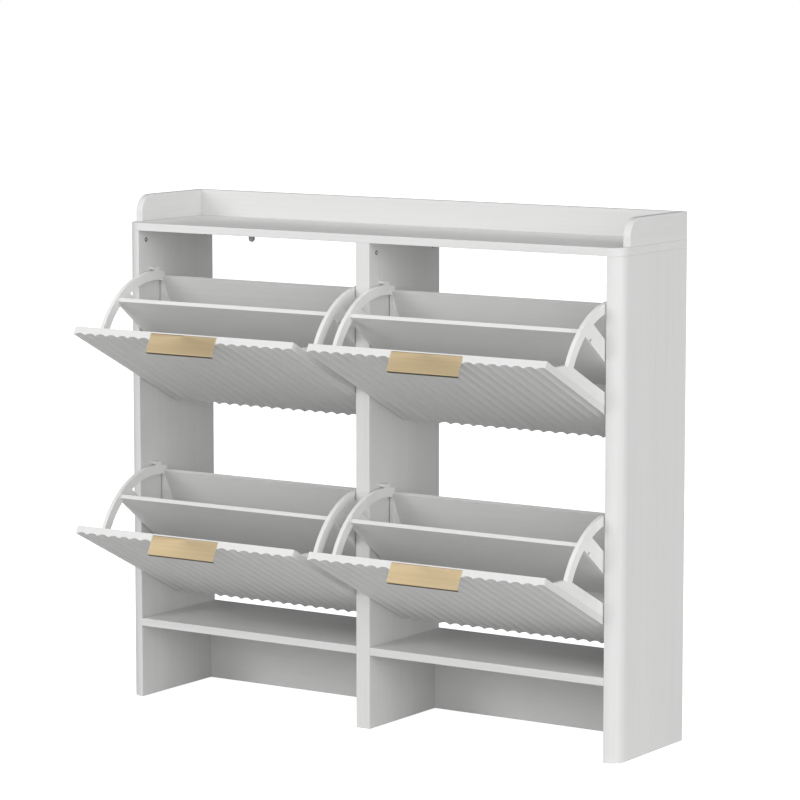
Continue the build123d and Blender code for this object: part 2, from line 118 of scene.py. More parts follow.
def light_the_world():
    """White backdrop; as light it is strong from the front right and weak from behind."""
    world = bpy.data.worlds.new("studio")
    world.use_nodes = True
    bench = Bench(world.node_tree)
    direction = bench.add("ShaderNodeTexCoord").outputs["Generated"]
    facing = bench.add("ShaderNodeVectorMath", {0: direction, 1: BRIGHT_SIDE}, operation="DOT_PRODUCT")
    strength = bench.add("ShaderNodeMapRange", {
        "Value": facing.outputs["Value"], "From Min": WORLD_FADE[0], "From Max": WORLD_FADE[1],
        "To Min": WORLD_DIM, "To Max": WORLD_BRIGHT})
    glow = world.node_tree.nodes["Background"]
    glow.inputs["Color"].default_value = BACKDROP
    bench.join(strength.outputs["Result"], glow.inputs["Strength"])
    seen = bench.add("ShaderNodeBackground", {"Color": BACKDROP})
    path = bench.add("ShaderNodeLightPath")
    mix = bench.add("ShaderNodeMixShader", {
        0: path.outputs["Is Camera Ray"], 1: glow.outputs[0], 2: seen.outputs[0]})
    bench.join(mix.outputs[0], world.node_tree.nodes["World Output"].inputs["Surface"])
    bpy.context.scene.world = world


def lay_floor():
    """Pale floor that glows for the camera, and is clear when it is seen from below."""
    bpy.ops.object.select_all(action="DESELECT")
    bpy.ops.mesh.primitive_plane_add(size=FLOOR_SIZE, location=(0, 0, 0))
    floor = bpy.context.object
    floor.name = "studio_floor"
    material = bpy.data.materials.new("pale_floor")
    material.use_nodes = True
    bench = Bench(material.node_tree)
    bench.shader.inputs["Base Color"].default_value = (FLOOR_PALE, FLOOR_PALE, FLOOR_PALE, 1)
    bench.shader.inputs["Emission Color"].default_value = BACKDROP
    path = bench.add("ShaderNodeLightPath")
    glow = bench.math("MULTIPLY", path.outputs["Is Camera Ray"], FLOOR_GLOW)
    bench.join(glow, bench.shader.inputs["Emission Strength"])
    bench.shader.inputs["Roughness"].default_value = 1.0
    bench.shader.inputs["Specular IOR Level"].default_value = 0.0
    below = bench.add("ShaderNodeNewGeometry").outputs["Backfacing"]
    clear = bench.add("ShaderNodeBsdfTransparent")
    mix = bench.add("ShaderNodeMixShader", {0: below, 1: bench.shader.outputs[0], 2: clear.outputs[0]})
    bench.join(mix.outputs[0], material.node_tree.nodes["Material Output"].inputs["Surface"])
    floor.data.materials.append(material)


def studio():
    bpy.context.scene.view_settings.view_transform = "Standard"
    light_the_world()
    lay_floor()
    for name, lamp in LAMPS.items():
        soft_light(name, *lamp)


# ---- node trees ----------------------------------------------------------------------------
class Bench:
    """A node tree with short ways to add a node, set or link its sockets, and join two sockets."""

    def __init__(self, tree):
        self.tree = tree
        self.shader = tree.nodes.get("Principled BSDF")

    def add(self, kind, inputs=None, **settings):
        node = self.tree.nodes.new(kind)
        for name, value in settings.items():
            setattr(node, name, value)
        for name, value in (inputs or {}).items():
            if isinstance(value, bpy.types.NodeSocket):
                self.join(value, node.inputs[name])
            else:
                node.inputs[name].default_value = value
        return node

    def join(self, source, target):
        self.tree.links.new(source, target)

    def math(self, operation, first, second=0.0):
        return self.add("ShaderNodeMath", {0: first, 1: second}, operation=operation).outputs[0]

    def blend(self, factor, low, high):
        """Colour between low and high."""
        mix = self.add("ShaderNodeMix", data_type="RGBA")
        for index, value in ((0, factor), (6, low), (7, high)):
            if isinstance(value, bpy.types.NodeSocket):
                self.join(value, mix.inputs[index])
            else:
                mix.inputs[index].default_value = value
        return mix.outputs[2]

    def noise(self, vector, scale, detail=2.0, roughness=0.5):
        inputs = {"Vector": vector, "Scale": scale, "Detail": detail, "Roughness": roughness}
        return self.add("ShaderNodeTexNoise", inputs).outputs["Fac"]

    def spread(self, value, low, high):
        """Stretch low..high of a value to 0..1."""
        inputs = {"Value": value, "From Min": low, "From Max": high}
        return self.add("ShaderNodeMapRange", inputs).outputs["Result"]


def effect(name, inputs, outputs):
    """A new shader node group with its sockets: its bench, its input node and its output node."""
    tree = bpy.data.node_groups.new(name, "ShaderNodeTree")
    for socket, kind in inputs.items():
        tree.interface.new_socket(name=socket, in_out="INPUT", socket_type=kind)
    for socket, kind in outputs.items():
        tree.interface.new_socket(name=socket, in_out="OUTPUT", socket_type=kind)
    bench = Bench(tree)
    return bench, bench.add("NodeGroupInput"), bench.add("NodeGroupOutput")


VALUE, COLOUR, VECTOR = "NodeSocketFloat", "NodeSocketColor", "NodeSocketVector"


def wood_grain_effect():
    """Foil printed with wood grain. The vector is in grain units: across, across and along the grain."""
    inputs = {"Vector": VECTOR, "Pale": COLOUR, "Dark": COLOUR, "Strength": VALUE}
    bench, taken, given = effect("wood_grain", inputs, {"Color": COLOUR, "Height": VALUE})
    place = taken.outputs["Vector"]
    clouds = bench.noise(place, 0.12, 2.0)
    streaks = bench.noise(place, 0.8, 4.0, 0.62)
    fibres = bench.noise(place, 4.5, 3.0, 0.7)
    pores = bench.spread(bench.noise(place, 9.0, 2.0, 0.6), 0.60, 0.74)
    mixed = bench.math("ADD", bench.math("MULTIPLY", clouds, 0.30), bench.math("MULTIPLY", streaks, 0.45))
    mixed = bench.math("ADD", mixed, bench.math("MULTIPLY", fibres, 0.25))
    tone = bench.spread(mixed, 0.36, 0.64)
    tone = bench.math("ADD", bench.math("MULTIPLY", tone, 0.8), bench.math("MULTIPLY", pores, 0.35))
    tone = bench.math("MULTIPLY", tone, taken.outputs["Strength"])
    bench.join(bench.blend(tone, taken.outputs["Pale"], taken.outputs["Dark"]), given.inputs["Color"])
    height = bench.math("SUBTRACT", fibres, bench.math("MULTIPLY", pores, 0.8))
    bench.join(height, given.inputs["Height"])
    return bench.tree


def edge_highlight_and_wear_effect():
    """Mask of the convex edges, broken up by noise, where a finish is paler: rubbed wear and a painted edge
    highlight.
    """
    inputs = {"Vector": VECTOR, "Width": VALUE, "Breakup": VALUE}
    bench, taken, given = effect("edge_highlight_and_wear", inputs, {"Mask": VALUE})
    rounded = bench.add("ShaderNodeBevel", {"Radius": taken.outputs["Width"]}, samples=4)
    flat = bench.add("ShaderNodeNewGeometry").outputs["True Normal"]
    turn = bench.add("ShaderNodeVectorMath", {0: rounded.outputs[0], 1: flat}, operation="DOT_PRODUCT")
    edge = bench.spread(bench.math("SUBTRACT", 1.0, turn.outputs["Value"]), 0.02, 0.25)
    patches = bench.spread(bench.noise(taken.outputs["Vector"], 90.0, 3.0), 0.35, 0.65)
    patches = bench.math("MULTIPLY", patches, taken.outputs["Breakup"])
    kept = bench.math("SUBTRACT", 1.0, patches)
    bench.join(bench.math("MULTIPLY", edge, kept), given.inputs["Mask"])
    return bench.tree


def handling_effect():
    """Faint smears of handling and dust: a value that moves the roughness, and a dust mask for tops."""
    inputs = {"Vector": VECTOR, "Scale": VALUE, "Base": VALUE, "Range": VALUE}
    bench, taken, given = effect("handling", inputs, {"Roughness": VALUE, "Dust": VALUE})
    size = taken.outputs["Scale"]
    smears = bench.noise(taken.outputs["Vector"], size, 4.0, 0.6)
    fine = bench.noise(taken.outputs["Vector"], bench.math("MULTIPLY", size, 14.0), 2.0)
    mixed = bench.math("ADD", bench.math("MULTIPLY", smears, 0.7), bench.math("MULTIPLY", fine, 0.3))
    signed = bench.math("SUBTRACT", mixed, 0.5)
    moved = bench.math("MULTIPLY", signed, taken.outputs["Range"])
    bench.join(bench.math("ADD", moved, taken.outputs["Base"]), given.inputs["Roughness"])
    normal = bench.add("ShaderNodeNewGeometry").outputs["Normal"]
    up = bench.add("ShaderNodeSeparateXYZ", {"Vector": normal}).outputs["Z"]
    top = bench.spread(up, 0.75, 1.0)
    bench.join(bench.math("MULTIPLY", top, bench.spread(mixed, 0.4, 0.7)), given.inputs["Dust"])
    return bench.tree


def brushed_effect():
    """Fine straight brush lines. The vector is in line units: along, across and across."""
    inputs = {"Vector": VECTOR, "Pale": COLOUR, "Dark": COLOUR}
    outputs = {"Color": COLOUR, "Height": VALUE, "Lines": VALUE}
    bench, taken, given = effect("brushed_metal", inputs, outputs)
    lines = bench.noise(taken.outputs["Vector"], 1.0, 5.0, 0.75)
    drift = bench.noise(taken.outputs["Vector"], 0.08, 2.0)
    tone = bench.math("ADD", bench.math("MULTIPLY", lines, 0.75), bench.math("MULTIPLY", drift, 0.25))
    tone = bench.spread(tone, 0.33, 0.67)
    bench.join(bench.blend(tone, taken.outputs["Pale"], taken.outputs["Dark"]), given.inputs["Color"])
    bench.join(lines, given.inputs["Height"])
    bench.join(tone, given.inputs["Lines"])
    return bench.tree


class Finish:
    """A material on its bench, with the shared effects at hand."""

    def __init__(self, name, metallic=0.0, roughness=0.5, coat=0.0):
        self.material = bpy.data.materials.new(name)
        self.material.use_nodes = True
        self.bench = Bench(self.material.node_tree)
        self.shader = self.bench.shader
        self.place = self.bench.add("ShaderNodeTexCoord").outputs["Object"]
        self.shader.inputs["Metallic"].default_value = metallic
        self.shader.inputs["Roughness"].default_value = roughness
        self.shader.inputs["Coat Weight"].default_value = coat

    def use(self, tree, inputs):
        group = self.bench.add("ShaderNodeGroup", node_tree=tree)
        for name, value in inputs.items():
            if isinstance(value, bpy.types.NodeSocket):
                self.bench.join(value, group.inputs[name])
            else:
                group.inputs[name].default_value = value
        return group.outputs

    def turned_place(self, sizes, turn=(0.0, 0.0, 0.0)):
        """Object coordinates turned back by an angle and divided by feature sizes."""
        inputs = {"Vector": self.place, "Rotation": turn, "Scale": sizes}
        return self.bench.add("ShaderNodeMapping", inputs, vector_type="TEXTURE").outputs[0]

    def colour(self, socket):
        self.bench.join(socket, self.shader.inputs["Base Color"])

    def handled(self, scale, base, span):
        """Roughness with smears; returns the dust mask."""
        values = {"Vector": self.place, "Scale": scale, "Base": base, "Range": span}
        out = self.use(handling, values)
        self.bench.join(out["Roughness"], self.shader.inputs["Roughness"])
        return out["Dust"]

    def highlit_and_worn(self, width, breakup=0.6):
        return self.use(edge_highlight_and_wear, {"Vector": self.place, "Width": width, "Breakup": breakup})["Mask"]

    def relief(self, height, depth, strength):
        bump = self.bench.add("ShaderNodeBump", {"Height": height, "Distance": depth, "Strength": strength})
        self.bench.join(bump.outputs[0], self.shader.inputs["Normal"])


# ---- finishes ------------------------------------------------------------------------------
ACROSS_GRAIN, ALONG_GRAIN = 5.5 * MM, 260 * MM
FRONT_GRAIN, PANEL_GRAIN = 0.4, 0.28      # strength of the grain on the fronts and the inner boards
FOIL_PALE, FOIL_DARK = (0.71, 0.71, 0.705, 1), (0.585, 0.585, 0.58, 1)
PANEL_PALE_PAINTED_LIGHT = (0.75, 0.75, 0.745, 1)       # the drawers' inner boards get a paler copy of the foil: painted light
# the paler edge colours below are partly rubbed wear and partly a painted edge highlight
RUBBED_AND_HIGHLIT_FOIL = (0.80, 0.80, 0.79, 1)
DUST = (0.60, 0.595, 0.585, 1)
PLASTIC_PALE, PLASTIC_DARK = (0.80, 0.80, 0.79, 1), (0.745, 0.745, 0.735, 1)
PLASTIC_RUBBED_AND_HIGHLIT = (0.86, 0.86, 0.85, 1)
GOLD_PALE, GOLD_DARK = (0.515, 0.415, 0.262, 1), (0.45, 0.352, 0.215, 1)
# the handle's bends: rubbed and a painted highlight; its faces turned downwards: painted shade, nearly black
GOLD_RUBBED_AND_HIGHLIT, GOLD_PAINTED_SHADE = (0.86, 0.77, 0.58, 1), (0.07, 0.05, 0.03, 1)
METAL_RUBBED_AND_HIGHLIT = (0.85, 0.85, 0.86, 1)
RUBBER_DARK, RUBBER_PALE = (0.27, 0.27, 0.27, 1), (0.36, 0.36, 0.36, 1)
BEECH_PALE, BEECH_DARK = (0.62, 0.42, 0.24, 1), (0.42, 0.25, 0.12, 1)
FOIL_WEAR_AND_HIGHLIGHT, PLASTIC_WEAR_AND_HIGHLIGHT, GOLD_WEAR_AND_HIGHLIGHT = 1.2 * MM, 1.0 * MM, 1.8 * MM      # width of the paler edges: rubbed wear and a painted edge highlight
BRUSH_ACROSS, BRUSH_ALONG = 0.3 * MM, 60 * MM


def foil(name, along, turn=(0.0, 0.0, 0.0), strength=0.42, pale=FOIL_PALE):
    """White wood-grain foil; along is the grain's direction, 0 to 2 for X to Z."""
    finish = Finish(name)
    sizes = [ACROSS_GRAIN] * 3
    sizes[along] = ALONG_GRAIN
    place = finish.turned_place(sizes, turn)
    values = {"Vector": place, "Pale": pale, "Dark": FOIL_DARK, "Strength": strength}
    grain = finish.use(wood_grain, values)
    dust = finish.handled(7.0, 0.44, 0.16)
    colour = finish.bench.blend(finish.bench.math("MULTIPLY", dust, 0.10), grain["Color"], DUST)
    # paler convex edges: rubbed wear and a painted edge highlight
    rubbed_and_highlit = finish.bench.math("MULTIPLY", finish.highlit_and_worn(FOIL_WEAR_AND_HIGHLIGHT), 0.5)
    finish.colour(finish.bench.blend(rubbed_and_highlit, colour, RUBBED_AND_HIGHLIT_FOIL))
    finish.relief(grain["Height"], 0.06 * MM, 0.5)
    return finish.material


def moulded_plastic():
    """White injection moulding: faint flow clouds, a fine orange peel and paler edges, partly rubbed wear and
    partly a painted highlight.
    """
    finish = Finish("moulded_white_plastic")
    bench = finish.bench
    clouds = bench.spread(bench.noise(finish.place, 14.0, 3.0), 0.35, 0.7)
    colour = bench.blend(clouds, PLASTIC_PALE, PLASTIC_DARK)
    # paler convex edges: rubbed wear and a painted edge highlight
    rubbed_and_highlit = bench.math("MULTIPLY", finish.highlit_and_worn(PLASTIC_WEAR_AND_HIGHLIGHT), 0.7)
    finish.colour(bench.blend(rubbed_and_highlit, colour, PLASTIC_RUBBED_AND_HIGHLIT))
    finish.handled(20.0, 0.34, 0.14)
    finish.relief(bench.noise(finish.place, 900.0, 3.0), 0.03 * MM, 0.35)
    return finish.material


def champagne_gold():
    """Anodised sheet brushed along the handle; its bends are paler, partly rubbed and partly a painted highlight,
    and faces turned downwards get painted shade.
    """
    finish = Finish("brushed_champagne_gold", metallic=1.0)
    bench = finish.bench
    place = finish.turned_place((BRUSH_ALONG, BRUSH_ACROSS, BRUSH_ACROSS), (OPEN, 0.0, 0.0))
    brushed = finish.use(brushed_metal, {"Vector": place, "Pale": GOLD_PALE, "Dark": GOLD_DARK})
    # paler bends: rubbed wear and a painted highlight along them
    rubbed_and_highlit = bench.math("MULTIPLY", finish.highlit_and_worn(GOLD_WEAR_AND_HIGHLIGHT, 0.2), 0.9)
    colour = bench.blend(rubbed_and_highlit, brushed["Color"], GOLD_RUBBED_AND_HIGHLIT)
    # painted shade: faces turned downwards are darkened to near black
    normal = bench.add("ShaderNodeNewGeometry").outputs["Normal"]
    up = bench.add("ShaderNodeSeparateXYZ", {"Vector": normal}).outputs["Z"]
    painted_underside_shade = bench.math("MULTIPLY", bench.spread(up, -0.45, -0.8), 0.92)
    finish.colour(bench.blend(painted_underside_shade, colour, GOLD_PAINTED_SHADE))
    rough = bench.math("ADD", bench.math("MULTIPLY", brushed["Lines"], 0.12), 0.44)
    bench.join(rough, finish.shader.inputs["Roughness"])
    finish.shader.inputs["Anisotropic"].default_value = 0.5
    finish.relief(brushed["Height"], 0.02 * MM, 0.4)
    return finish.material


def plated(name, pale, dark, base, patch, metallic=1.0, rubbed_and_highlit=0.4 * MM):
    """Plated or cast metal with a base roughness, blotches and a fine grain."""
    finish = Finish(name, metallic=metallic)
    bench = finish.bench
    blotches = bench.spread(bench.noise(finish.place, patch, 4.0, 0.6), 0.35, 0.68)
    colour = bench.blend(blotches, pale, dark)
    # paler convex edges: rubbed wear and a painted edge highlight
    edges = bench.math("MULTIPLY", finish.highlit_and_worn(rubbed_and_highlit, 0.2), 0.6)
    finish.colour(bench.blend(edges, colour, METAL_RUBBED_AND_HIGHLIT))
    finish.handled(60.0, base, 0.2)
    finish.relief(bench.noise(finish.place, patch * 9, 3.0), 0.02 * MM, 0.4)
    return finish.material


def grey_rubber():
    finish = Finish("grey_rubber")
    bench = finish.bench
    specks = bench.spread(bench.noise(finish.place, 700.0, 2.0), 0.45, 0.7)
    finish.colour(bench.blend(specks, RUBBER_DARK, RUBBER_PALE))
    finish.handled(90.0, 0.3, 0.2)
    finish.relief(bench.noise(finish.place, 1500.0, 2.0), 0.02 * MM, 0.4)
    return finish.material


def plain_beech():
    finish = Finish("plain_beech")
    bench = finish.bench
    place = finish.turned_place((1.2 * MM, 1.2 * MM, 14 * MM))
    grain = finish.use(wood_grain, {"Vector": place, "Pale": BEECH_PALE, "Dark": BEECH_DARK, "Strength": 0.9})
    finish.colour(grain["Color"])
    finish.handled(80.0, 0.62, 0.15)
    finish.relief(grain["Height"], 0.05 * MM, 0.5)
    return finish.material


# ---- modelling helpers ---------------------------------------------------------------------
def only(piece):
    """Select one object alone and make it active."""
    bpy.ops.object.select_all(action="DESELECT")
    piece.select_set(True)
    bpy.context.view_layer.objects.active = piece


def fresh(name, add, **settings):
    """A new primitive, in edit mode and selected all over."""
    bpy.ops.object.select_all(action="DESELECT")
    add(**settings)
    piece = bpy.context.object
    piece.name = piece.data.name = name
    bpy.ops.object.transform_apply(location=True, rotation=True, scale=True)
    bpy.ops.object.mode_set(mode="EDIT")
    bpy.ops.mesh.select_all(action="SELECT")
    return piece


def pick(piece, kind, test):
    """In edit mode, select only the vertices, edges or faces whose centre (and normal) pass a test."""
    bpy.ops.mesh.select_all(action="DESELECT")
    bpy.ops.mesh.select_mode(type=kind)
    shape = bmesh.from_edit_mesh(piece.data)
    if kind == "VERT":
        for vertex in shape.verts:
            vertex.select_set(bool(test(vertex.co)))
    elif kind == "EDGE":
        for edge in shape.edges:
            first, second = (vertex.co for vertex in edge.verts)
            edge.select_set(bool(test((first + second) / 2, second - first)))
    else:
        for face in shape.faces:
            face.select_set(bool(test(face.calc_center_median(), face.normal)))
    bmesh.update_edit_mesh(piece.data)


def extrude(offset):
    bpy.ops.mesh.extrude_region_move(TRANSFORM_OT_translate={"value": offset})


def close_up(piece):
    """Merge doubles, turn every face outwards and leave edit mode."""
    bpy.ops.mesh.select_all(action="SELECT")
    bpy.ops.mesh.remove_doubles(threshold=MERGE)
    bpy.ops.mesh.normals_make_consistent(inside=False)
    bpy.ops.object.mode_set(mode="OBJECT")
    return piece


def modify(piece, kind, **settings):
    """Add a modifier, set it and apply it."""
    only(piece)
    modifier = piece.modifiers.new(kind.lower(), kind)
    for name, value in settings.items():
        setattr(modifier, name, value)
    bpy.ops.object.modifier_apply(modifier=modifier.name)


def round_edges(piece, width, sharper_than, segments=3):
    modify(piece, "BEVEL", width=width, segments=segments, limit_method="ANGLE",
           angle_limit=radians(sharper_than))


def shade(piece, angle):
    """Smooth shading below an angle, with flat faces kept flat."""
    only(piece)
    bpy.ops.object.shade_smooth_by_angle(angle=radians(angle))
    modify(piece, "WEIGHTED_NORMAL", keep_sharp=True)


def place_as(piece, matrix):
    """Move a piece by a matrix and leave its object at the origin, unturned."""
    piece.matrix_world = matrix @ piece.matrix_world
    only(piece)
    bpy.ops.object.transform_apply(location=True, rotation=True, scale=True)


def own_copy(piece, name):
    copy = piece.copy()
    copy.data = piece.data.copy()
    copy.name = copy.data.name = name
    bpy.context.scene.collection.objects.link(copy)
    return copy


def joined(pieces, name):
    bpy.ops.object.select_all(action="DESELECT")
    for piece in pieces:
        piece.select_set(True)
    bpy.context.view_layer.objects.active = pieces[0]
    if len(pieces) > 1:
        bpy.ops.object.join()
    pieces[0].name = pieces[0].data.name = name
    return pieces[0]


def discard(*pieces):
    for piece in pieces:
        bpy.data.objects.remove(piece)


def turned(name, steps, sides=24):
    """A part turned round Z: steps are (height, radius), from its foot over its outside to its last face."""
    height, radius = steps[0]
    piece = fresh(name, bpy.ops.mesh.primitive_circle_add, vertices=sides, radius=radius,
                  fill_type="NGON", location=(0, 0, height))
    for next_height, next_radius in steps[1:]:
        extrude((0, 0, next_height - height))
        grow = next_radius / radius
        bpy.ops.transform.resize(value=(grow, grow, 1), center_override=(0, 0, next_height))
        height, radius = next_height, next_radius
    return close_up(piece)


def cut(piece, tool):
    """Cut a tool's shape out of a piece, and discard the tool."""
    modify(piece, "BOOLEAN", operation="DIFFERENCE", solver="EXACT", object=tool, use_self=True)
    discard(tool)


def cross_tool(reach, width, foot, top):
    """Tapered cross that cuts a recess for a cross-head driver."""
    arms = []
    for turn in (0, pi / 2):
        arm = fresh("cross_arm", bpy.ops.mesh.primitive_cube_add, size=1.0)
        bpy.ops.transform.resize(value=(reach * 2, width, top - foot))
        bpy.ops.transform.translate(value=(0, 0, (top + foot) / 2))
        pick(arm, "FACE", lambda centre, normal: normal.z < -0.5)
        bpy.ops.transform.resize(value=(0.35, 0.6, 1), center_override=(0, 0, foot))
        close_up(arm)
        place_as(arm, Matrix.Rotation(turn, 4, "Z"))
        arms.append(arm)
    return joined(arms, "cross_tool")


# ---- measuring the frame -------------------------------------------------------------------
def pivot_of(drawer):
    return Vector(JOINTS[f"{drawer}_drawer"]["pos_m"])


def opened(drawer):
    """Matrix that takes a closed drawer, modelled round its pivot, to where it stands open."""
    return Matrix.Translation(pivot_of(drawer)) @ Matrix.Rotation(OPEN, 4, "X")


def closed_box(drawer, part):
    """Lowest and highest corner of a drawer's part, closed, measured from its pivot."""
    back = opened(drawer).inverted()
    points = [back @ vertex.co for vertex in frame["nodes"][f"{drawer}_{part}"].data.vertices]
    low = Vector(min(point[axis] for point in points) for axis in range(3))
    high = Vector(max(point[axis] for point in points) for axis in range(3))
    return low, high


def solids(node, back=Matrix.Identity(4)):
    """The separate solids of a node, each as its middle, its direction and its length.

    The direction runs along the solid, towards its thicker end.
    """
    shape = bmesh.new()
    shape.from_mesh(frame["nodes"][node].data)
    bmesh.ops.remove_doubles(shape, verts=shape.verts, dist=MERGE)
    waiting, found = set(shape.verts), []
    while waiting:
        island, front = [], [waiting.pop()]
        while front:
            vertex = front.pop()
            island.append(back @ vertex.co)
            near = {edge.other_vert(vertex) for edge in vertex.link_edges} & waiting
            waiting -= near
            front.extend(near)
        found.append(describe(island))
    shape.free()
    return sorted(found, key=lambda solid: tuple(round(value, 4) for value in solid[0]))


def describe(points):
    """Middle, direction and length of a straight turned solid."""
    low = Vector(min(point[axis] for point in points) for axis in range(3))
    high = Vector(max(point[axis] for point in points) for axis in range(3))
    middle, size = (low + high) / 2, high - low
    along = max(range(3), key=lambda axis: size[axis])
    widest = max(size[axis] for axis in range(3) if axis != along) / 2

    def off_axis(point):
        return max(abs(point[axis] - middle[axis]) for axis in range(3) if axis != along)

    thick = [point[along] - middle[along] for point in points if off_axis(point) > widest * 0.8]
    direction = Vector((0, 0, 0))
    direction[along] = -1.0 if sum(thick) < -0.1 * MM * len(thick) else 1.0
    return middle, direction, size[along]


def stand_at(model, name, middle, direction, shift=0.0):
    """Own copy of a model along Z, stood at a place with its top towards a direction."""
    copy = own_copy(model, name)
    turn = direction.to_track_quat("Z", "Y").to_matrix().to_4x4()
    place_as(copy, Matrix.Translation(middle + direction * shift) @ turn)
    return copy


def put_in(piece, body, slot, finish, *nodes):
    """Give a finished piece its finish and body, and let it stand for its nodes.

    With no finish given, the piece keeps those it has.
    """
    if finish:
        piece.data.materials.clear()
        piece.data.materials.append(finish)
        for polygon in piece.data.polygons:
            polygon.material_index = 0
    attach(piece, body)
    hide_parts(*nodes)


# ---- drawer pieces -------------------------------------------------------------------------
def fluted_front(drawer):
    """Row of hollow flutes between rounded ridges, cut to the board's ends and given its thickness."""
    low, high = closed_box(drawer, "front")
    half_chord = (FLUTE_PITCH - RIDGE_LAND) / 2
    radius = (half_chord ** 2 + FLUTE_DEPTH ** 2) / (2 * FLUTE_DEPTH)
    start = low.x + FIRST_RIDGE - 1.5 * FLUTE_PITCH
    board = fresh(f"{drawer}_fluted_front", bpy.ops.mesh.primitive_plane_add, size=1.0,
                  rotation=(pi / 2, 0, 0))
    bpy.ops.transform.resize(value=(RIDGE_LAND, 1, high.z - low.z))
    bpy.ops.transform.translate(value=(start, low.y, (low.z + high.z) / 2))
    right = start + RIDGE_LAND / 2
    pick(board, "EDGE", lambda centre, along: centre.x > right - HAIR and abs(along.z) > 0.1)
    axis = (right + half_chord, low.y + FLUTE_DEPTH - radius, 0)
    sweep = 2 * asin(half_chord / radius)
    bpy.ops.mesh.spin(steps=FLUTE_STEPS, angle=sweep, center=axis, axis=(0, 0, 1))
    bpy.ops.object.mode_set(mode="OBJECT")
    flutes = int((high.x - low.x) / FLUTE_PITCH) + 3
    modify(board, "ARRAY", count=flutes, use_relative_offset=False, use_constant_offset=True,
           constant_offset_displace=(FLUTE_PITCH, 0, 0), use_merge_vertices=True, merge_threshold=HAIR)
    only(board)
    bpy.ops.object.mode_set(mode="EDIT")
    for end, outer in ((low.x, False), (high.x, True)):
        bpy.ops.mesh.select_all(action="SELECT")
        bpy.ops.mesh.bisect(plane_co=(end, 0, 0), plane_no=(1, 0, 0),
                            clear_outer=outer, clear_inner=not outer)
    bpy.ops.mesh.select_all(action="DESELECT")
    bpy.ops.mesh.edges_select_sharp(sharpness=radians(20))
    bpy.ops.mesh.bevel(offset=RIDGE_ROUNDING, segments=3)
    bpy.ops.mesh.select_all(action="SELECT")
    extrude((0, high.y - low.y, 0))
    bpy.ops.transform.resize(value=(1, 0, 1), center_override=(0, high.y, 0))
    close_up(board)
    round_edges(board, BOARD_ROUNDING, 60, 2)
    shade(board, 40)
    place_as(board, opened(drawer))
    return board


def bent_handle(drawer):
    """Sheet bent twice: a plate over the front's top edge, a lip in front and a tongue behind."""
    low, high = closed_box(drawer, "handle")
    handle = fresh(f"{drawer}_bent_handle", bpy.ops.mesh.primitive_plane_add, size=1.0)
    bpy.ops.transform.resize(value=(high.x - low.x, high.y - low.y, 1))
    bpy.ops.transform.translate(value=((low.x + high.x) / 2, (low.y + high.y) / 2, high.z))
    pick(handle, "EDGE", lambda centre, along: centre.y < low.y + HAIR)
    extrude((0, 0, -LIP))
    pick(handle, "EDGE", lambda centre, along: centre.y > high.y - HAIR and abs(along.x) > 0.01)
    extrude((0, 0, low.z - high.z))
    pick(handle, "EDGE", lambda centre, along: centre.z > high.z - HAIR and abs(along.x) > 0.01)
    bpy.ops.mesh.bevel(offset=SHEET_BEND, segments=5)
    bpy.ops.mesh.select_all(action="SELECT")
    bpy.ops.mesh.normals_make_consistent(inside=False)
    bpy.ops.object.mode_set(mode="OBJECT")
    up = [face.normal.z for face in handle.data.polygons if abs(face.normal.z) > 0.9]
    modify(handle, "SOLIDIFY", thickness=SHEET, offset=-1.0 if up[0] > 0 else 1.0)
    only(handle)
    bpy.ops.object.mode_set(mode="EDIT")
    close_up(handle)
    round_edges(handle, SHEET_EDGE, 60, 2)
    shade(handle, 35)
    place_as(handle, opened(drawer))
    return handle


def rounded_copy(node, name, width, segments=3, sharper_than=40):
    """Merged copy of a node's shape with its edges rounded."""
    copy = own_copy(frame["nodes"][node], name)
    copy.parent = None
    only(copy)
    bpy.ops.object.mode_set(mode="EDIT")
    bpy.ops.mesh.select_all(action="SELECT")
    bpy.ops.mesh.remove_doubles(threshold=MERGE)
    bpy.ops.mesh.dissolve_limited(angle_limit=radians(0.5))
    bpy.ops.object.mode_set(mode="OBJECT")
    round_edges(copy, width, sharper_than, segments)
    shade(copy, 50)
    return copy


def chipboard_screw(length):
    """Screw with a coned tip, a coarse thread and a domed head with a cross recess; its top is at 0."""
    neck = -SCREW_HEAD_HEIGHT - 3.0 * MM
    steps = [(-length, 0.2 * MM), (-length + 2.6 * MM, SCREW_SHAFT * 0.72)]
    height = steps[-1][0]
    while height + SCREW_PITCH < neck:
        steps += [(height + SCREW_PITCH * 0.45, SCREW_SHAFT * 0.72),
                  (height + SCREW_PITCH * 0.7, SCREW_SHAFT), (height + SCREW_PITCH, SCREW_SHAFT * 0.72)]
        height += SCREW_PITCH
    steps += [(neck, SCREW_SHAFT * 0.85), (-SCREW_HEAD_HEIGHT, SCREW_SHAFT * 0.85),
              (-SCREW_HEAD_HEIGHT, SCREW_HEAD * 0.94), (-SCREW_HEAD_HEIGHT * 0.8, SCREW_HEAD),
              (-SCREW_HEAD_HEIGHT * 0.45, SCREW_HEAD), (-SCREW_HEAD_HEIGHT * 0.18, SCREW_HEAD * 0.84),
              (0.0, SCREW_HEAD * 0.5)]
    screw = turned("chipboard_screw", steps, 16)
    cut(screw, cross_tool(1.75 * MM, 0.75 * MM, -1.7 * MM, 0.6 * MM))
    shade(screw, 38)
    return screw


def bracket_screws(drawer):
    back = opened(drawer).inverted()
    copies, models = [], {}
    for middle, direction, length in solids(f"{drawer}_bracket_screws", back):
        key = round(length / MM, 1)
        if key not in models:
            models[key] = chipboard_screw(length)
        copies.append(stand_at(models[key], "screw", middle, direction, length / 2))
    discard(*models.values())
    screws = joined(copies, f"{drawer}_bracket_screw_set")
    place_as(screws, opened(drawer))
    return screws


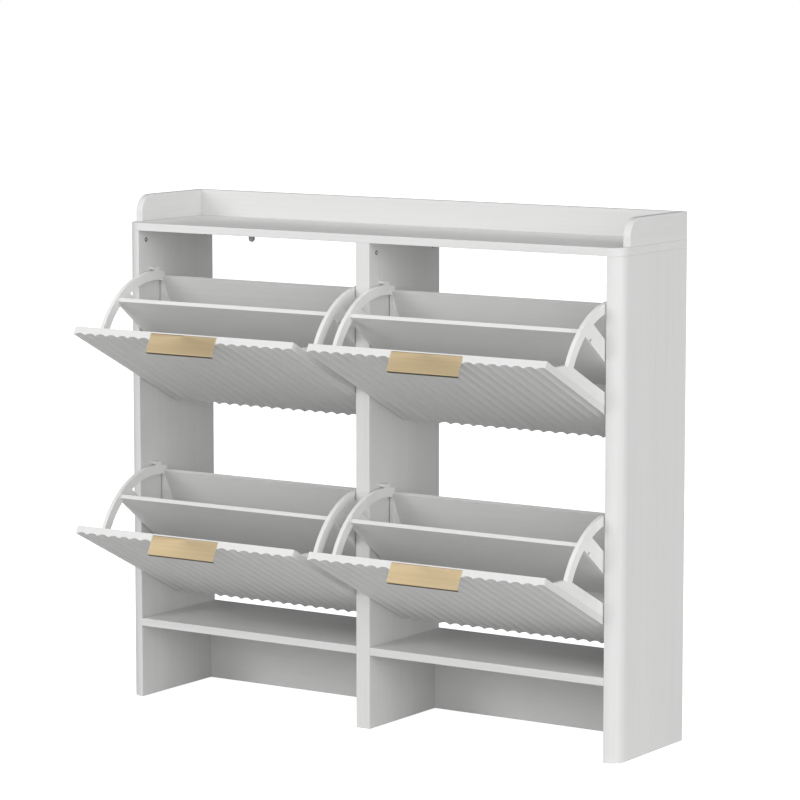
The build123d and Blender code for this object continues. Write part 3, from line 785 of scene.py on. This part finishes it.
def dress_drawer(drawer):
    body = f"{drawer}_drawer"
    put_in(fluted_front(drawer), body, "fluted_board", front_foil, f"{drawer}_front")
    put_in(bent_handle(drawer), body, "gold", gold, f"{drawer}_handle")
    for panel in ("divider_panel", "back_panel", "bottom_board"):
        board = rounded_copy(f"{drawer}_{panel}", f"{drawer}_{panel}_foiled", BOARD_ROUNDING)
        finish = lengthwise_foil if panel == "back_panel" else lightened_panel_foil
        put_in(board, body, "board", finish, f"{drawer}_{panel}")
    for side in ("left", "right"):
        moulding = rounded_copy(f"{drawer}_bracket_{side}", f"{drawer}_bracket_{side}_moulding",
                                MOULDING_ROUNDING, 3, 50)
        put_in(moulding, body, "white_plastic", plastic, f"{drawer}_bracket_{side}")
    put_in(bracket_screws(drawer), body, "steel", zinc_plate, f"{drawer}_bracket_screws")


# ---- fittings of the carcass ---------------------------------------------------------------
def pivot_pin(length):
    """Pressed-in pin with a collar; its middle is at 0, its top in the drawer."""
    top, seat = length / 2, length / 2 - PIN_IN_DRAWER
    collar_top, softened = seat + 1.7 * MM, 0.3 * MM
    steps = [(-top, PIN_RADIUS - PIN_EASE), (-top + PIN_EASE, PIN_RADIUS), (seat, PIN_RADIUS),
             (seat, PIN_COLLAR - softened), (seat + softened, PIN_COLLAR),
             (seat + 1.4 * MM, PIN_COLLAR), (collar_top, PIN_COLLAR - softened),
             (collar_top, PIN_RADIUS), (top - PIN_EASE, PIN_RADIUS), (top, PIN_RADIUS - PIN_EASE),
             (top, 1.6 * MM), (top - 1.2 * MM, 0.9 * MM)]
    return turned("pivot_pin", steps, 32)


def stop_pin(length):
    """Plain pin with coned ends and a small dimple in its visible one."""
    top = length / 2
    steps = [(-top, STOP_RADIUS - STOP_EASE), (-top + STOP_EASE, STOP_RADIUS), (top - STOP_EASE, STOP_RADIUS),
             (top, STOP_RADIUS - STOP_EASE), (top, 1.0 * MM), (top - 0.5 * MM, 0.4 * MM)]
    return turned("stop_pin", steps, 28)


def cam_lock(length):
    """Cam with a sunken ring round a bright driver post; its visible face is at the top. All of it but the post's
    top is coloured dark: painted shade for the sunken ring.
    """
    top, floor = length / 2, length / 2 - CAM_GROOVE
    steps = [(-top, CAM_RADIUS - 0.4 * MM), (-top + 0.4 * MM, CAM_RADIUS), (top - 0.3 * MM, CAM_RADIUS),
             (top, CAM_RADIUS - 0.3 * MM), (top, CAM_RADIUS - 0.5 * MM), (floor, CAM_RADIUS - 0.8 * MM),
             (floor, CAM_POST), (top - 0.2 * MM, CAM_POST - 0.05 * MM), (top, CAM_POST - 0.3 * MM)]
    cam = turned("cam_lock", steps, 28)
    cut(cam, cross_tool(1.2 * MM, 0.4 * MM, top - 1.4 * MM, top + 0.5 * MM))
    # painted shade: a dark copy of the zinc colours the ring and the rest of the cam; only the post's top keeps
    # the bright zinc
    cam.data.materials.append(zinc_painted_shade)
    cam.data.materials.append(bright_zinc)
    for face in cam.data.polygons:
        on_post = face.center.z > top - 0.5 * MM and face.center.xy.length < CAM_POST + 0.1 * MM
        face.material_index = 1 if on_post else 0
    return cam


def cam_bolt(length):
    """Connecting bolt: ball head, waist, collar and a threaded end."""
    top, radius = length / 2, BOLT_RADIUS
    steps = [(-top, radius * 0.5), (-top + 0.6 * MM, radius * 0.8), (-top + 1.8 * MM, radius * 0.8),
             (-top + 2.4 * MM, radius * 0.5), (-top + 4.4 * MM, radius * 0.5),
             (-top + 5.0 * MM, radius * 0.9), (top - BOLT_THREAD - 1.0 * MM, radius * 0.9),
             (top - BOLT_THREAD - 1.0 * MM, radius), (top - BOLT_THREAD, radius)]
    for turn in range(BOLT_TURNS):
        height = top - BOLT_THREAD + turn * BOLT_PITCH
        steps += [(height + BOLT_PITCH * 0.3, radius * 0.7), (height + BOLT_PITCH * 0.6, radius * 0.7),
                  (height + BOLT_PITCH * 0.8, radius)]
    steps += [(top - 0.8 * MM, radius * 0.7), (top, radius * 0.3)]
    return turned("cam_bolt", steps, 16)


def fluted_dowel(length, radius):
    """Beech dowel with coned ends and grooves pressed along it."""
    top = length / 2
    steps = [(-top, radius - DOWEL_EASE), (-top + DOWEL_EASE, radius), (top - DOWEL_EASE, radius),
             (top, radius - DOWEL_EASE)]
    dowel = turned("dowel", steps, DOWEL_GROOVES * 2)
    bpy.ops.object.mode_set(mode="EDIT")
    step = pi / DOWEL_GROOVES
    pick(dowel, "VERT", lambda place: round(atan2(place.y, place.x) / step) % 2 == 0)
    bpy.ops.transform.resize(value=(DOWEL_GROOVED, DOWEL_GROOVED, 1), center_override=(0, 0, 0))
    return close_up(dowel)


def rubber_button(length):
    """Bumper with a softened foot, a straight side and a round dome; it hangs dome down."""
    top, radius = length / 2, BUMPER_RADIUS
    steps = [(-top, radius - 0.25 * MM), (-top + 0.25 * MM, radius), (top - radius, radius)]
    for step in range(1, 8):
        angle = radians(12) * step
        steps.append((top - radius + radius * sin(angle), radius * cos(angle)))
    return turned("rubber_button", steps, 36)


def stud(length):
    """Round stud with coned ends."""
    top, radius = length / 2, STUD_RADIUS
    steps = [(-top, radius * 0.6), (-top + 1.0 * MM, radius), (top - 1.0 * MM, radius), (top, radius * 0.6)]
    return turned("stud", steps, 16)


def fill_with(node, name, model_of, aim, slot, finish, angle=35):
    """Replace each solid of a carcass node with a model, its top towards the direction that aim gives."""
    copies, models = [], {}
    for middle, direction, length in solids(node):
        key = (round(length / MM, 1), thickness_at(node, middle))
        if key not in models:
            models[key] = model_of(length, key[1])
            shade(models[key], angle)
        copies.append(stand_at(models[key], name, middle, aim(middle, direction)))
    discard(*models.values())
    put_in(joined(copies, name), "carcass", slot, finish, node)


def thickness_at(node, middle):
    """Radius in whole millimetres of the dowel at a place, and 0 for any other node."""
    if node != "dowels":
        return 0
    return 3 if middle.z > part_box("top_board")[1].z - HAIR else 4


def towards_bay(middle, direction):
    """From an upright into the bay beside it."""
    near_divider = abs(middle.x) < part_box("centre_divider")[1].x + 3 * MM
    side = 1.0 if (middle.x > 0) == near_divider else -1.0
    return Vector((side, 0, 0))


def cam_face(middle, direction):
    """The visible face of a cam: into the bay, under a shelf or at the back of a toe board."""
    if abs(direction.x) > 0.5:
        on_right_panel = middle.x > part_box("bottom_shelf_right")[0].x
        return Vector((-1.0 if on_right_panel else 1.0, 0, 0))
    if abs(direction.z) > 0.5:
        return Vector((0, 0, -1.0))
    return Vector((0, 1.0, 0))


def as_it_lies(middle, direction):
    return direction


def downwards(middle, direction):
    return Vector((0, 0, -1.0))


def outwards(middle, direction):
    """A bolt's threaded end: up into the top board, or into the upright next to a shelf."""
    if abs(direction.z) > 0.5:
        return Vector((0, 0, 1.0))
    bay_middle = (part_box("bottom_shelf_right")[0].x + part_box("bottom_shelf_right")[1].x) / 2
    side = 1.0 if abs(middle.x) > bay_middle else -1.0
    return Vector((side if middle.x > 0 else -side, 0, 0))


def dress_carcass():
    for name in frame["record"]["behaviour"]["bodies"]["carcass"]:
        node = frame["nodes"][name]
        upright = name.startswith(("side_panel", "centre_divider"))
        deep = name.startswith("gallery_side")
        node.data.materials.clear()
        node.data.materials.append(upright_foil if upright else depthwise_foil if deep else lengthwise_foil)
    fill_with("pivot_pins", "turned_pivot_pins", lambda length, _: pivot_pin(length), towards_bay,
              "steel", zinc_plate)
    fill_with("stop_pins", "coned_stop_pins", lambda length, _: stop_pin(length), towards_bay,
              "white_plastic", plastic)
    fill_with("cam_locks", "cam_lock_set", lambda length, _: cam_lock(length), cam_face, "zinc", None)
    fill_with("connecting_bolts", "cam_bolt_set", lambda length, _: cam_bolt(length), outwards,
              "steel", zinc_plate)
    fill_with("dowels", "fluted_dowels", lambda length, radius: fluted_dowel(length, radius * MM),
              as_it_lies, "beech", beech)
    fill_with("door_bumper", "rubber_bumper", lambda length, _: rubber_button(length), downwards,
              "rubber", rubber)
    fill_with("bumper_stud", "bumper_pin", lambda length, _: stud(length), as_it_lies, "steel", zinc_plate)


# ---- making --------------------------------------------------------------------------------
aim_camera()
studio()
wood_grain, edge_highlight_and_wear = wood_grain_effect(), edge_highlight_and_wear_effect()
handling, brushed_metal = handling_effect(), brushed_effect()
upright_foil = foil("upright_grain_foil", 2)
lengthwise_foil = foil("lengthwise_grain_foil", 0)
depthwise_foil = foil("depthwise_grain_foil", 1)
# a paler copy of the foil for the drawers' inner boards: painted light
lightened_panel_foil = foil("drawer_panel_lightened_foil", 0, (OPEN, 0.0, 0.0), PANEL_GRAIN, PANEL_PALE_PAINTED_LIGHT)
front_foil = foil("fluted_front_foil", 2, (OPEN, 0.0, 0.0), FRONT_GRAIN)
plastic = moulded_plastic()
gold = champagne_gold()
zinc_plate = plated("zinc_plated_steel", (0.72, 0.72, 0.73, 1), (0.52, 0.52, 0.54, 1), 0.32, 120.0)
# a dark copy of the cast zinc: painted shade for the cams' sunken ring
zinc_painted_shade = plated("cast_zinc_painted_shade", (0.16, 0.16, 0.165, 1), (0.09, 0.09, 0.095, 1), 0.45, 260.0, 0.3)
bright_zinc = plated("bright_cast_zinc", (0.85, 0.85, 0.86, 1), (0.74, 0.74, 0.75, 1), 0.40, 260.0, 0.2)
rubber = grey_rubber()
beech = plain_beech()
for drawer in DRAWERS:
    dress_drawer(drawer)
dress_carcass()
